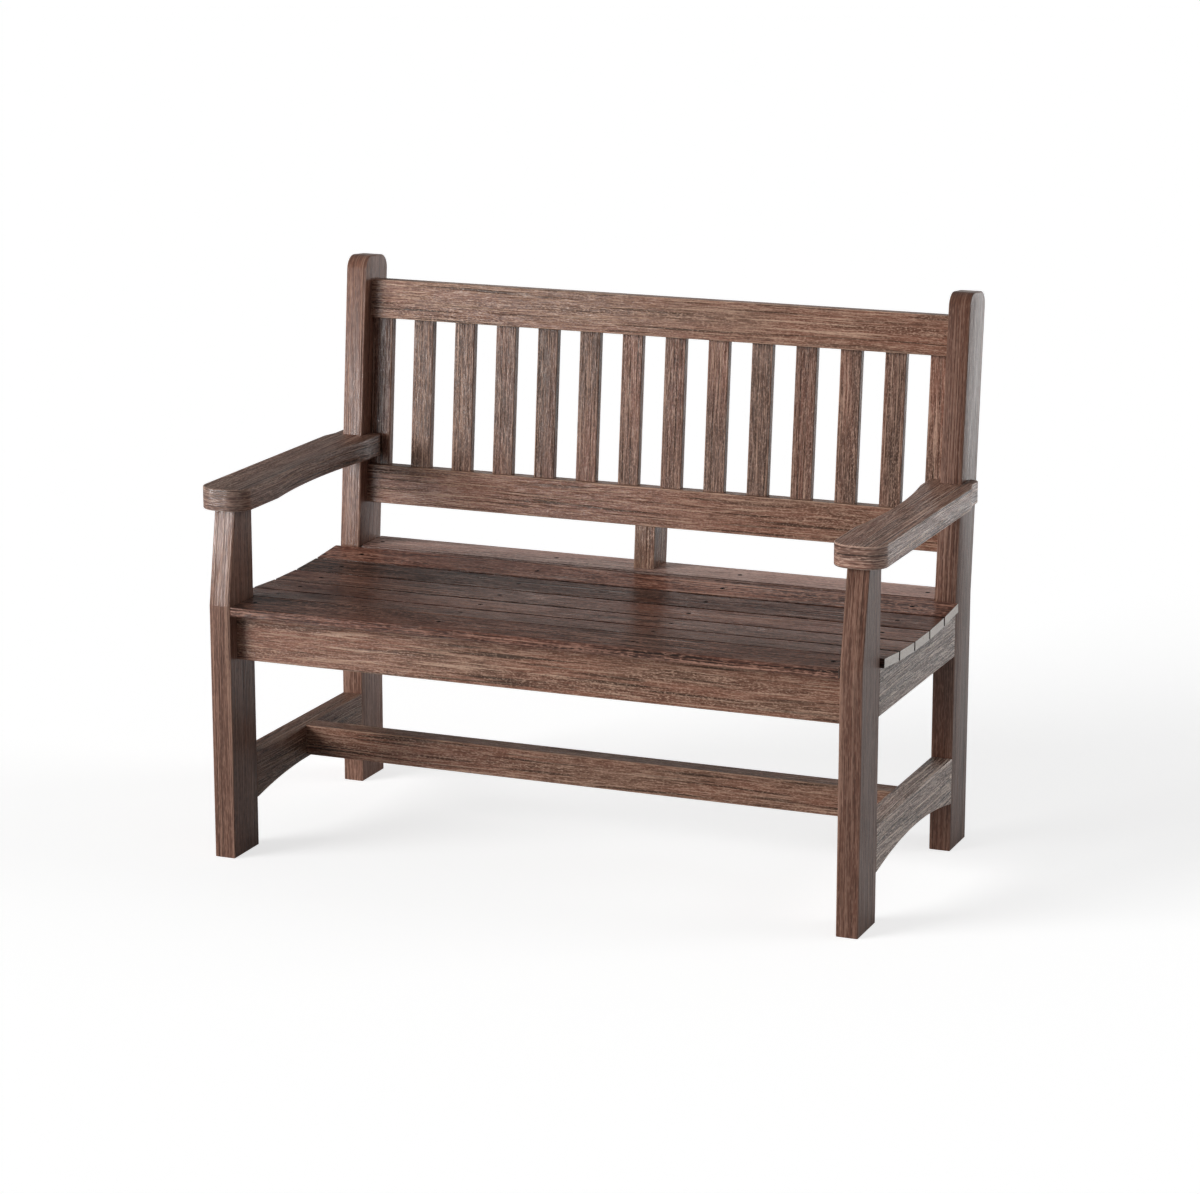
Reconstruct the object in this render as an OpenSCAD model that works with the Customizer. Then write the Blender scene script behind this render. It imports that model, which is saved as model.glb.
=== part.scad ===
// Garden bench in moulded recycled plastic boards.
// Two bent back posts, tapered front legs, a dished slatted seat, an upright slatted back,
// waisted armrests and an H of low stretchers.
// Millimetres. +X runs along the bench, +Y towards the back, +Z up.
// The origin is on the floor, under the middle of the bench's outer box.

/* [Overall size] */
// Length over the outer faces of the legs
bench_l = 1160; // [950:5:1600]
// Height of the front of the seat, where all four legs change direction
seat_h = 444; // [380:1:520]
// Underside of the armrests above the seat
arm_rise = 161.5; // [130:0.5:220]
// Highest point of the back above the seat
back_rise = 518.6; // [440:0.1:640]

/* [Legs and posts] */
// Thickness of every frame board: legs, rails, bearers, armrests and stretchers
board_t = 38.1; // [33:0.1:44]
// Depth of the legs, front to back
leg_d = 88.9; // [84:0.1:110]
// How far the face of a front leg slopes back by its top
leg_taper = 28.4; // [5:0.1:42]
// Backward lean of the posts above the seat, in degrees
lean = 5.1; // [1:0.1:12]
// Corner radius at the top of the back posts
post_corner_r = 25.4; // [8:0.1:36]

/* [Seat] */
// Width of each of the five slats between the front legs and the posts
seat_slat_w = 76.2; // [60:0.1:95]
// Gap between seat slats
seat_gap = 5.48; // [3:0.01:12]
// Thickness of the seat slats
seat_slat_t = 15.9; // [12:0.1:24]
// How far the middle of the seat dips below its edges
seat_dip = 11.5; // [3:0.1:22]
// How far the slats between the legs reach past the outer faces of the legs
seat_overhang = 6; // [0.5:0.5:15]
// Gap at each end of the front slat and of the rear slat
slat_end_gap = 2; // [0.5:0.1:6]
// Front edge of the rear slat behind the front faces of the posts
rear_slat_inset = 4.7; // [0.5:0.1:10]

/* [Seat frame] */
// Height of the seat rails at their ends
seat_rail_h = 81.1; // [65:0.1:110]
// Front and rear rails behind the front faces of the legs
rail_inset = 25.4; // [12:0.1:30]
// Middle bearers, from the centre of the bench to the centre of the board
mid_bearer_x = 174; // [80:1:320]
// End bearers, from the inner face of the legs to the centre of the board
end_bearer_x = 25.4; // [22:0.1:60]

/* [Stretchers] */
// Top edge of the stretchers above the floor
stretcher_top = 166; // [130:1:260]
// Height of the side stretchers at their ends
side_stretcher_h = 80.5; // [72:0.5:110]
// Rise of the arch under each side stretcher
arch_rise = 20.7; // [5:0.1:30]
// Flat at each end of the arch
arch_end = 4; // [1:0.5:20]
// Height of the long stretcher
long_stretcher_h = 54; // [46:0.5:66]

/* [Back] */
// Back rails behind the front faces of the posts
back_inset = 25.4; // [12:0.1:32]
// Height of the back rails
back_rail_h = 69; // [55:0.5:95]
// Top of the posts to the top of the upper back rail
top_rail_drop = 42.2; // [32:0.1:80]
// Seat line to the underside of the lower back rail
lower_rail_rise = 77.5; // [50:0.5:120]
// Width of the back slats
back_slat_w = 38.1; // [28:0.1:52]
// Thickness of the back slats
back_slat_t = 15.9; // [12:0.1:22]
// How deep the back slats are let into the rails
back_slat_seat = 12; // [6:0.5:13]
// Height of the tongue that the short centre post sends up behind the lower rail
tongue_h = 50; // [44:1:66]

/* [Armrests] */
// Width of the armrests
arm_w = 88.9; // [80:0.1:110]
// How far the armrests reach out past the legs
arm_out = 25.4; // [14:0.1:34]
// Front end of the armrests behind the faces of the front legs
arm_setback = 10; // [0.5:0.5:24]
// Corner radius at the front of the armrests
arm_corner_r = 34; // [10:0.5:39]
// Depth of the waist in the inner edge
waist_depth = 13.3; // [3:0.1:18]
// Start of the waist behind the front end
waist_start = 130; // [90:1:180]
// End of the waist in front of the posts, measured at the seat
waist_end = 13; // [5:1:60]
// Outer tail of the armrest behind the face of the post
tail_out = 48.8; // [40:0.1:70]
// How much the armrest narrows beside the post
tail_relief = 7; // [2:0.1:10]
// Corner radius of the outer tail
tail_corner_r = 12; // [3:0.5:15]
// Corner radius of the inner tail
inner_tail_r = 9; // [3:0.5:14]
// Gap between the inner tail and the end slat of the back
tail_gap = 4.7; // [1:0.1:12]

/* [Joints] */
// Length of the rail and stretcher tenons
tenon_l = 25; // [15:0.5:28]
// Thickness of the tenons
tenon_t = 16; // [10:0.1:18]
// Shoulder above and below each tenon
tenon_shoulder = 14; // [12.5:0.1:16]
// Length of the stub tenons on the seat bearers
stub_l = 9; // [5:0.5:10]
// Length of the stub that holds an armrest on its front leg
arm_stub_l = 12; // [6:0.5:20]
// Depth of that stub, front to back
arm_stub_d = 36; // [20:0.5:44]
// Clearance round every tenon, stub and slat end
joint_gap = 0.3; // [0.1:0.05:0.6]

/* [Edges and screws] */
// Radius of the eased edges along rails and slats
edge_r = 2; // [0.5:0.1:4]
// Length of the screws
screw_l = 45; // [34:0.5:54]
// Shank radius of the screws
screw_r = 2.1; // [1.5:0.1:3]
// Head radius of the screws
screw_head_r = 4.3; // [3.6:0.1:6]
// Width of the square drive socket
socket_w = 2.6; // [1.6:0.1:3]
// Depth of the drive socket
socket_d = 1.5; // [0.8:0.1:1.8]
// Clearance round the screws
screw_gap = 0.1; // [0.05:0.05:0.3]

/* [Hidden] */

LEG_COLOR = [0.41, 0.32, 0.29];
RAIL_COLOR = [0.43, 0.34, 0.31];
SEAT_COLOR = [0.34, 0.28, 0.26];
BACK_COLOR = [0.45, 0.36, 0.33];
SCREW_COLOR = [0.15, 0.13, 0.12];

LEFT = -1;
RIGHT = 1;
MID_SLATS = 5;
SEAT_SLATS = MID_SLATS + 2;
BACK_SLATS = 14;
// Overlap that lets a cut or a tenon pass through the face it starts from
through = 1;
// Segments of the small arcs and of the wide ones
$fn = 32;
WIDE = 360;

// Plan and height of the frame
half = bench_l / 2;
inner_half = half - board_t;
inner_d = MID_SLATS * seat_slat_w + (MID_SLATS + 1) * seat_gap;
rear_y = leg_d + inner_d;
frame_d = rear_y + leg_d;
leg_top = seat_h + arm_rise;
bottom_of_seat = seat_h - seat_slat_t;
rail_z = bottom_of_seat - seat_rail_h;

// The posts in their own leaning frame: depth from the front face, height from the bend
post_len = post_corner_r
    + (back_rise - post_corner_r + post_corner_r * sin(lean)) / cos(lean);
overall_d = rear_y + (leg_d - post_corner_r) * cos(lean)
    + (post_len - post_corner_r) * sin(lean) + post_corner_r;
top_rail_z = post_len - top_rail_drop - back_rail_h;
lower_rail_top = lower_rail_rise + back_rail_h;
back_pitch = (2 * inner_half - back_slat_w) / (BACK_SLATS - 1);
slat_inset = back_inset + (board_t - back_slat_t) / 2;

// Seat dish: an arc between the front slat and the rear slat
dish_chord = inner_d + rear_slat_inset;
dish_mid = leg_d + dish_chord / 2;
dish_r = arc_radius(dish_chord, seat_dip);

// Armrest plan, measured from the outer front corner of the leg
arm_inner = arm_w - arm_out;
arm_post_y = rear_y + arm_rise * tan(lean);
arm_end_y = arm_post_y + tail_out;
inner_end_y = arm_post_y + slat_inset - tail_gap;
waist_chord = rear_y - waist_end - arm_setback - waist_start;
waist_mid = arm_setback + waist_start + waist_chord / 2;
waist_r = arc_radius(waist_chord, waist_depth);

bearer_lines = [-inner_half + end_bearer_x, -mid_bearer_x, mid_bearer_x, inner_half - end_bearer_x];
head_h = screw_head_r - screw_r;

// Radius of an arc from its chord and its rise
function arc_radius(chord, rise) = (chord * chord / 4 + rise * rise) / (2 * rise);

// Seat slats, counted from the front: centre, tilt, width and length of each
function is_mid(i) = i > 1 && i < SEAT_SLATS;
function slat_w(i) = i == 1 ? leg_d : i == SEAT_SLATS ? leg_d - rear_slat_inset : seat_slat_w;
function slat_l(i) = is_mid(i) ? bench_l + 2 * seat_overhang : 2 * (inner_half - slat_end_gap);
function slat_y(i) = i == 1 ? leg_d / 2
    : i == SEAT_SLATS ? frame_d - slat_w(i) / 2
    : leg_d + (i - 1) * (seat_gap + seat_slat_w) - seat_slat_w / 2;
function slat_tilt(i) = is_mid(i) ? asin((slat_y(i) - dish_mid) / dish_r) : 0;
function slat_z(i) = is_mid(i) ? seat_h - seat_dip + dish_r * (1 - cos(slat_tilt(i))) : seat_h;

// Line of the screws, from a slat's centre line: the front and rear slats are screwed to their rails
function screw_y(i) = is_mid(i) ? 0
    : (i == 1 ? 0 : rear_y) + rail_inset + board_t / 2 - slat_y(i);

// A point of the underside of slat i, at u from its centre line, as [y, z]
function under_slat(i, u) = [
    slat_y(i) + u * cos(slat_tilt(i)) + seat_slat_t * sin(slat_tilt(i)),
    slat_z(i) + u * sin(slat_tilt(i)) - seat_slat_t * cos(slat_tilt(i))
];
// The same underside carried on to a given y
function under_line(i, y) = [y, under_slat(i, 0)[1] + (y - under_slat(i, 0)[0]) * tan(slat_tilt(i))];
// Undersides of slats a to b as one line of seats, front to back
function slat_seats(a, b) = [
    for (i = [a:b]) for (s = [-1, 1]) under_slat(i, s * slat_w(i) / 2)
];

// Brings the frame's front left corner to the middle of the outer box
module settle() {
    translate([0, -overall_d / 2, 0]) children();
}

// Places a shape drawn from the outer face of the left legs, or its mirror image on the right
module at_side(side) {
    mirror([side == RIGHT ? 1 : 0, 0, 0]) translate([-half, 0, 0]) children();
}

// The leaning frame of the back
module leaning() {
    translate([0, rear_y, seat_h]) rotate([-lean, 0, 0]) children();
}

// Frame of a seat slat: origin in the middle of its top face
module at_slat(i) {
    translate([0, slat_y(i), slat_z(i)]) rotate([slat_tilt(i), 0, 0]) children();
}

// Extrudes a [y, z] outline along X
module along_x(length) {
    rotate([90, 0, 90]) linear_extrude(length) children();
}

module eased_rect(w, h) {
    translate([edge_r, 0]) square([w - 2 * edge_r, h]);
    translate([0, edge_r]) square([w, h - 2 * edge_r]);
    for (x = [edge_r, w - edge_r]) {
        for (y = [edge_r, h - edge_r]) {
            translate([x, y]) circle(edge_r);
        }
    }
}

// A straight board with eased long edges, centred on X, depth d and height h
module bar(length, d, h) {
    translate([-length / 2, 0, 0]) along_x(length) eased_rect(d, h);
}

// Removes the square corner outside an arc; the corner is at the origin, the board in +X +Y
module corner_cut(r) {
    difference() {
        translate([-through, -through]) square(r + through);
        translate([r, r]) circle(r, $fn = 96);
    }
}

// A tenon that points along +X from its shoulder, grown by gap for its mortise
module tenon(length, t, h, gap = 0) {
    translate([-through, -t / 2 - gap, -h / 2 - gap]) {
        cube([through + length + gap, t + 2 * gap, h + 2 * gap]);
    }
}

// Tenons, each placed once and used both for the piece and for its mortise
module front_rail_tenon(gap = 0) {
    translate([board_t, rail_inset + board_t / 2, rail_z + seat_rail_h / 2]) rotate([0, 0, 180]) {
        tenon(tenon_l, tenon_t, seat_rail_h - 2 * tenon_shoulder, gap);
    }
}

module rear_rail_tenon(gap = 0) {
    translate([0, rear_y, 0]) front_rail_tenon(gap);
}

module side_tenons(mid_z, h, gap = 0) {
    translate([board_t / 2, leg_d, mid_z]) rotate([0, 0, -90]) tenon(tenon_l, tenon_t, h, gap);
    translate([board_t / 2, rear_y, mid_z]) rotate([0, 0, 90]) tenon(tenon_l, tenon_t, h, gap);
}

module side_rail_tenons(gap = 0) {
    side_tenons(rail_z + seat_rail_h / 2, seat_rail_h - 2 * tenon_shoulder, gap);
}

module side_stretcher_tenons(gap = 0) {
    side_tenons(stretcher_top - side_stretcher_h / 2, side_stretcher_h - 2 * tenon_shoulder, gap);
}

module long_stretcher_tenon(gap = 0) {
    translate([board_t, frame_d / 2, stretcher_top - long_stretcher_h / 2]) rotate([0, 0, 180]) {
        tenon(tenon_l, tenon_t, long_stretcher_h - 2 * tenon_shoulder, gap);
    }
}

// Tenon of a back rail whose underside is at z in the leaning frame
module back_rail_tenon(z, gap = 0) {
    leaning() translate([board_t, back_inset + board_t / 2, z + back_rail_h / 2]) rotate([0, 0, 180]) {
        tenon(tenon_l, tenon_t, back_rail_h - 2 * tenon_shoulder, gap);
    }
}

// Stub tenons at both ends of the bearers
module bearer_stubs(gap = 0) {
    for (x = bearer_lines) {
        translate([x, 0, rail_z + seat_rail_h / 2]) {
            translate([0, rail_inset + board_t, 0]) rotate([0, 0, -90]) bearer_stub(gap);
            translate([0, rear_y + rail_inset, 0]) rotate([0, 0, 90]) bearer_stub(gap);
        }
    }
}

module bearer_stub(gap) {
    tenon(stub_l, tenon_t, seat_rail_h - 2 * tenon_shoulder, gap);
}

// Stub on top of a front leg, under the armrest
module arm_stub(gap = 0) {
    translate([board_t / 2, (leg_taper + leg_d) / 2, leg_top]) rotate([0, -90, 0]) {
        tenon(arm_stub_l, arm_stub_d, tenon_t, gap);
    }
}

// Countersunk screw with its head at the origin, pointing down
module screw() {
    difference() {
        union() {
            translate([0, 0, -head_h]) cylinder(h = head_h, r1 = screw_r, r2 = screw_head_r);
            translate([0, 0, 2 * screw_r - screw_l]) {
                cylinder(h = screw_l - 2 * screw_r - head_h, r = screw_r);
            }
            translate([0, 0, -screw_l]) cylinder(h = 2 * screw_r, r1 = screw_r / 4, r2 = screw_r);
        }
        translate([-socket_w / 2, -socket_w / 2, -socket_d]) cube([socket_w, socket_w, socket_d + through]);
    }
}

// Hole for that screw, with its countersink
module screw_hole() {
    translate([0, 0, -screw_l - screw_gap]) cylinder(h = screw_l + screw_gap, r = screw_r + screw_gap);
    translate([0, 0, -head_h]) {
        cylinder(h = head_h, r1 = screw_r + screw_gap, r2 = screw_head_r + screw_gap);
    }
    cylinder(h = through, r = screw_head_r + screw_gap);
}

// Every seat screw: through each slat over each line of bearers
module on_seat_screws(first = 1, last = SEAT_SLATS) {
    for (i = [first:last]) {
        for (x = bearer_lines) {
            at_slat(i) translate([x, screw_y(i), 0]) children();
        }
    }
}

// The centre post's screws: two from behind into the lower rail, one from under the rear slat
module on_centre_post_screws() {
    for (s = [0.3, 0.7]) {
        leaning() translate([0, back_inset + centre_post_d(), lower_rail_rise + s * tongue_h]) {
            rotate([-90, 0, 0]) children();
        }
    }
    translate([0, foot_screw_y(), bottom_of_seat]) rotate([180, 0, 0]) children();
}

// The centre post runs from the front of the back rails to the rear of the posts
function centre_post_d() = leg_d - back_inset;
// The foot screw stands midway between the rear rail and the rear edge of the rear slat
function foot_screw_y() = (rear_y + rail_inset + board_t + frame_d) / 2;

module front_leg(side) {
    color(LEG_COLOR) settle() at_side(side) {
        difference() {
            along_x(board_t) polygon([
                [0, 0], [leg_d, 0], [leg_d, leg_top], [leg_taper, leg_top], [0, seat_h]
            ]);
            front_rail_tenon(joint_gap);
            side_rail_tenons(joint_gap);
            side_stretcher_tenons(joint_gap);
        }
        arm_stub();
    }
}

// Outline of a back post above its bend, in the leaning frame
module post_outline() {
    difference() {
        translate([0, -leg_d * tan(lean / 2)]) square([leg_d, post_len + leg_d * tan(lean / 2)]);
        translate([0, post_len]) mirror([0, 1]) corner_cut(post_corner_r);
        translate([leg_d, post_len]) rotate(180) corner_cut(post_corner_r);
        // Mitre at the bend
        rotate(-lean / 2) translate([-leg_d, -leg_d]) square([3 * leg_d, leg_d]);
    }
}

module rear_leg(side) {
    color(LEG_COLOR) settle() at_side(side) difference() {
        along_x(board_t) {
            translate([rear_y, 0]) polygon([
                [0, 0], [leg_d, 0], [leg_d, seat_h - leg_d * tan(lean / 2)], [0, seat_h]
            ]);
            translate([rear_y, seat_h]) rotate(-lean) post_outline();
        }
        rear_rail_tenon(joint_gap);
        side_rail_tenons(joint_gap);
        side_stretcher_tenons(joint_gap);
        back_rail_tenon(lower_rail_rise, joint_gap);
        back_rail_tenon(top_rail_z, joint_gap);
    }
}

// Plan of an armrest, from the outer front corner of the leg
module arm_plan() {
    difference() {
        translate([-arm_out, arm_setback]) square([arm_w, arm_end_y - arm_setback]);
        translate([-arm_out, arm_setback]) corner_cut(arm_corner_r);
        translate([arm_inner, arm_setback]) mirror([1, 0]) corner_cut(arm_corner_r);
        // Waist in the inner edge
        translate([arm_inner - waist_depth + waist_r, waist_mid]) circle(waist_r, $fn = WIDE);
        // Shorter tail beside the slats
        translate([board_t, inner_end_y]) square([arm_w, arm_w]);
        translate([arm_inner, inner_end_y]) rotate(180) corner_cut(inner_tail_r);
        // The outer edge draws in beside the post
        polygon([
            [-arm_out - through, rear_y - 2 * tail_relief], [-arm_out, rear_y - tail_relief],
            [-arm_out + tail_relief, arm_post_y + tail_relief], [-arm_out + tail_relief, arm_end_y + through],
            [-arm_out - through, arm_end_y + through]
        ]);
        translate([-arm_out + tail_relief, arm_end_y]) mirror([0, 1]) corner_cut(tail_corner_r);
    }
}

module arm(side) {
    color(LEG_COLOR) settle() at_side(side) difference() {
        translate([0, 0, leg_top]) linear_extrude(board_t) arm_plan();
        arm_stub(joint_gap);
        // Fork round the leaning post, open to the back
        leaning() translate([-joint_gap, -joint_gap, 0]) {
            cube([board_t + 2 * joint_gap, 2 * leg_d, post_len]);
        }
    }
}

module front_seat_rail() {
    color(RAIL_COLOR) settle() difference() {
        union() {
            translate([0, rail_inset, rail_z]) bar(2 * inner_half, board_t, seat_rail_h);
            for (side = [LEFT, RIGHT]) at_side(side) front_rail_tenon();
        }
        bearer_stubs(joint_gap);
        on_seat_screws(1, 1) screw_hole();
    }
}

module rear_seat_rail() {
    color(RAIL_COLOR) settle() difference() {
        union() {
            translate([0, rear_y + rail_inset, rail_z]) bar(2 * inner_half, board_t, seat_rail_h);
            for (side = [LEFT, RIGHT]) at_side(side) rear_rail_tenon();
        }
        bearer_stubs(joint_gap);
        on_seat_screws(SEAT_SLATS, SEAT_SLATS) screw_hole();
    }
}

// The top edge of a side rail is cut to a flat under each slat
module side_seat_rail(side) {
    color(RAIL_COLOR) settle() at_side(side) {
        along_x(board_t) polygon(concat(
            [[rear_y, rail_z], [leg_d, rail_z], under_line(2, leg_d)],
            slat_seats(2, SEAT_SLATS - 1),
            [under_line(SEAT_SLATS - 1, rear_y)]
        ));
        side_rail_tenons();
    }
}

module seat_bearer(n) {
    front_y = rail_inset + board_t;
    back_y = rear_y + rail_inset;
    color(RAIL_COLOR) settle() difference() {
        union() {
            translate([bearer_lines[n] - board_t / 2, 0, 0]) along_x(board_t) polygon(concat(
                [[back_y, rail_z], [front_y, rail_z], [front_y, bottom_of_seat], [leg_d, bottom_of_seat]],
                slat_seats(2, SEAT_SLATS - 1),
                [[rear_y + rear_slat_inset, bottom_of_seat], [back_y, bottom_of_seat]]
            ));
            intersection() {
                bearer_stubs();
                translate([bearer_lines[n] - board_t / 2, 0, 0]) cube([board_t, frame_d, seat_h]);
            }
        }
        on_seat_screws(2, SEAT_SLATS - 1) screw_hole();
    }
}

module seat_slat(i) {
    color(SEAT_COLOR) settle() difference() {
        at_slat(i) translate([0, -slat_w(i) / 2, -seat_slat_t]) bar(slat_l(i), slat_w(i), seat_slat_t);
        on_seat_screws(i, i) screw_hole();
        if (i == SEAT_SLATS) on_centre_post_screws() screw_hole();
    }
}

module side_stretcher(side) {
    color(RAIL_COLOR) settle() at_side(side) difference() {
        union() {
            along_x(board_t) difference() {
                translate([leg_d, stretcher_top - side_stretcher_h]) square([inner_d, side_stretcher_h]);
                translate([frame_d / 2, stretcher_top - side_stretcher_h + arch_rise - arch_r()]) {
                    circle(arch_r(), $fn = WIDE);
                }
            }
            side_stretcher_tenons();
        }
        long_stretcher_tenon(joint_gap);
    }
}

function arch_r() = arc_radius(inner_d - 2 * arch_end, arch_rise);

module long_stretcher() {
    color(RAIL_COLOR) settle() {
        translate([0, (frame_d - board_t) / 2, stretcher_top - long_stretcher_h]) {
            bar(2 * inner_half, board_t, long_stretcher_h);
        }
        for (side = [LEFT, RIGHT]) at_side(side) long_stretcher_tenon();
    }
}

// Centre lines of the back slats, the end ones against the posts
function back_slat_x(i) = -inner_half + back_slat_w / 2 + (i - 1) * back_pitch;

// The slat in the leaning frame, grown by gap for its seats in the rails
module back_slat_shape(i, gap = 0) {
    slat_z0 = lower_rail_top - back_slat_seat - gap;
    slat_h = top_rail_z - lower_rail_top + 2 * (back_slat_seat + gap);
    translate([back_slat_x(i) - back_slat_w / 2 - gap, slat_inset - gap, slat_z0]) {
        if (gap > 0) {
            cube([back_slat_w + 2 * gap, back_slat_t + 2 * gap, slat_h]);
        } else {
            linear_extrude(slat_h) eased_rect(back_slat_w, back_slat_t);
        }
    }
}

module back_slat(i) {
    color(BACK_COLOR) settle() leaning() back_slat_shape(i);
}

// A back rail whose underside is at z in the leaning frame
module back_rail(z) {
    difference() {
        union() {
            leaning() translate([0, back_inset, z]) bar(2 * inner_half, board_t, back_rail_h);
            for (side = [LEFT, RIGHT]) at_side(side) back_rail_tenon(z);
        }
        for (i = [1:BACK_SLATS]) leaning() back_slat_shape(i, joint_gap);
    }
}

module back_top_rail() {
    color(BACK_COLOR) settle() back_rail(top_rail_z);
}

module back_lower_rail() {
    color(BACK_COLOR) settle() difference() {
        back_rail(lower_rail_rise);
        on_centre_post_screws() screw_hole();
    }
}

// Short post from the rear slat to the lower rail, with a tongue up the back of the rail
module back_centre_post() {
    back = back_inset + centre_post_d();
    tongue_y = back_inset + board_t;
    color(BACK_COLOR) settle() difference() {
        leaning() translate([-board_t / 2, 0, 0]) along_x(board_t) polygon([
            [back_inset, back_inset * tan(lean)], [back, back * tan(lean)],
            [back, lower_rail_rise + tongue_h], [tongue_y, lower_rail_rise + tongue_h],
            [tongue_y, lower_rail_rise], [back_inset, lower_rail_rise]
        ]);
        on_centre_post_screws() screw_hole();
    }
}

module seat_screws() {
    color(SCREW_COLOR) settle() on_seat_screws() screw();
}

module centre_post_screws() {
    color(SCREW_COLOR) settle() on_centre_post_screws() screw();
}

front_leg(LEFT);  // front_leg_left
front_leg(RIGHT);  // front_leg_right
rear_leg(LEFT);  // rear_leg_left
rear_leg(RIGHT);  // rear_leg_right
arm(LEFT);  // arm_left
arm(RIGHT);  // arm_right
front_seat_rail();
rear_seat_rail();
side_seat_rail(LEFT);  // side_seat_rail_left
side_seat_rail(RIGHT);  // side_seat_rail_right
seat_bearer(0);  // seat_bearer_end_left
seat_bearer(1);  // seat_bearer_mid_left
seat_bearer(2);  // seat_bearer_mid_right
seat_bearer(3);  // seat_bearer_end_right
seat_slat(1);  // seat_slat_1
seat_slat(2);  // seat_slat_2
seat_slat(3);  // seat_slat_3
seat_slat(4);  // seat_slat_4
seat_slat(5);  // seat_slat_5
seat_slat(6);  // seat_slat_6
seat_slat(7);  // seat_slat_7
side_stretcher(LEFT);  // side_stretcher_left
side_stretcher(RIGHT);  // side_stretcher_right
long_stretcher();
back_top_rail();
back_lower_rail();
back_centre_post();
back_slat(1);  // back_slat_1
back_slat(2);  // back_slat_2
back_slat(3);  // back_slat_3
back_slat(4);  // back_slat_4
back_slat(5);  // back_slat_5
back_slat(6);  // back_slat_6
back_slat(7);  // back_slat_7
back_slat(8);  // back_slat_8
back_slat(9);  // back_slat_9
back_slat(10);  // back_slat_10
back_slat(11);  // back_slat_11
back_slat(12);  // back_slat_12
back_slat(13);  // back_slat_13
back_slat(14);  // back_slat_14
seat_screws();
centre_post_screws();
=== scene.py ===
"""Garden bench in moulded recycled plastic boards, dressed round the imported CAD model.

Every board is drawn in its own frame: x along the board, y across its width, z through its
thickness. Drawing sizes are millimetres, in the layout of the CAD source; Blender objects are in
metres.
"""

import math
import random

import bmesh
import bpy
from mathutils import Matrix, Vector


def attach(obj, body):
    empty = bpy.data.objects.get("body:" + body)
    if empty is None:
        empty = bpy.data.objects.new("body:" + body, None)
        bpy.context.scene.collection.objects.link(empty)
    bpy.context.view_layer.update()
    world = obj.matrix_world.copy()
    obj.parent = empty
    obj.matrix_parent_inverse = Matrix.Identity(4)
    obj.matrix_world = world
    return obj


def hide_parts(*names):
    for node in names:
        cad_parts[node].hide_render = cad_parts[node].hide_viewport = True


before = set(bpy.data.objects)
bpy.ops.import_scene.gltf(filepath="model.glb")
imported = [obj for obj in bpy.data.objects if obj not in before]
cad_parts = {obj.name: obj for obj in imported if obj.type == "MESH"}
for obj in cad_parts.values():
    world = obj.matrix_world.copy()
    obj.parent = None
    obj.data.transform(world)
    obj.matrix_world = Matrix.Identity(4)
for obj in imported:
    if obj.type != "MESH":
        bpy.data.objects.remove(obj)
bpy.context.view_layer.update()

# Sizes, as in the CAD source
BENCH_L = 1160.0
SEAT_H = 444.0
ARM_RISE = 161.5
BACK_RISE = 518.6
BOARD_T = 38.1
LEG_D = 88.9
LEG_TAPER = 28.4
LEAN = math.radians(5.1)
POST_CORNER_R = 25.4
SEAT_SLAT_W = 76.2
SEAT_GAP = 5.48
SEAT_SLAT_T = 15.9
SEAT_DIP = 11.5
SEAT_OVERHANG = 6.0
SLAT_END_GAP = 2.0
REAR_SLAT_INSET = 4.7
SEAT_RAIL_H = 81.1
RAIL_INSET = 25.4
MID_BEARER_X = 174.0
END_BEARER_X = 25.4
STRETCHER_TOP = 166.0
SIDE_STRETCHER_H = 80.5
ARCH_RISE = 20.7
ARCH_END = 4.0
LONG_STRETCHER_H = 54.0
BACK_INSET = 25.4
BACK_RAIL_H = 69.0
TOP_RAIL_DROP = 42.2
LOWER_RAIL_RISE = 77.5
BACK_SLAT_W = 38.1
BACK_SLAT_T = 15.9
TONGUE_H = 50.0
ARM_W = 88.9
ARM_OUT = 25.4
ARM_SETBACK = 10.0
ARM_CORNER_R = 34.0
WAIST_DEPTH = 13.3
WAIST_START = 130.0
WAIST_END = 13.0
TAIL_OUT = 48.8
TAIL_RELIEF = 7.0
TAIL_CORNER_R = 12.0
INNER_TAIL_R = 9.0
TAIL_GAP = 4.7
JOINT_GAP = 0.3
SCREW_R = 2.1
SCREW_HEAD_R = 4.3
SCREW_GAP = 0.1

MM = 0.001
HALF = BENCH_L / 2
INNER_HALF = HALF - BOARD_T
MID_SLATS = 5
SEAT_SLATS = MID_SLATS + 2
BACK_SLATS = 14
INNER_D = MID_SLATS * SEAT_SLAT_W + (MID_SLATS + 1) * SEAT_GAP
REAR_Y = LEG_D + INNER_D
FRAME_D = REAR_Y + LEG_D
LEG_TOP = SEAT_H + ARM_RISE
BOTTOM_OF_SEAT = SEAT_H - SEAT_SLAT_T
RAIL_Z = BOTTOM_OF_SEAT - SEAT_RAIL_H
POST_RISE = BACK_RISE - POST_CORNER_R + POST_CORNER_R * math.sin(LEAN)
POST_LEN = POST_CORNER_R + POST_RISE / math.cos(LEAN)
OVERALL_D = (
    REAR_Y
    + (LEG_D - POST_CORNER_R) * math.cos(LEAN)
    + (POST_LEN - POST_CORNER_R) * math.sin(LEAN)
    + POST_CORNER_R
)
TOP_RAIL_Z = POST_LEN - TOP_RAIL_DROP - BACK_RAIL_H
LOWER_RAIL_TOP = LOWER_RAIL_RISE + BACK_RAIL_H
BACK_PITCH = (2 * INNER_HALF - BACK_SLAT_W) / (BACK_SLATS - 1)
SLAT_INSET = BACK_INSET + (BOARD_T - BACK_SLAT_T) / 2
ARM_POST_Y = REAR_Y + ARM_RISE * math.tan(LEAN)
END_LINE_X = INNER_HALF - END_BEARER_X
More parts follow.
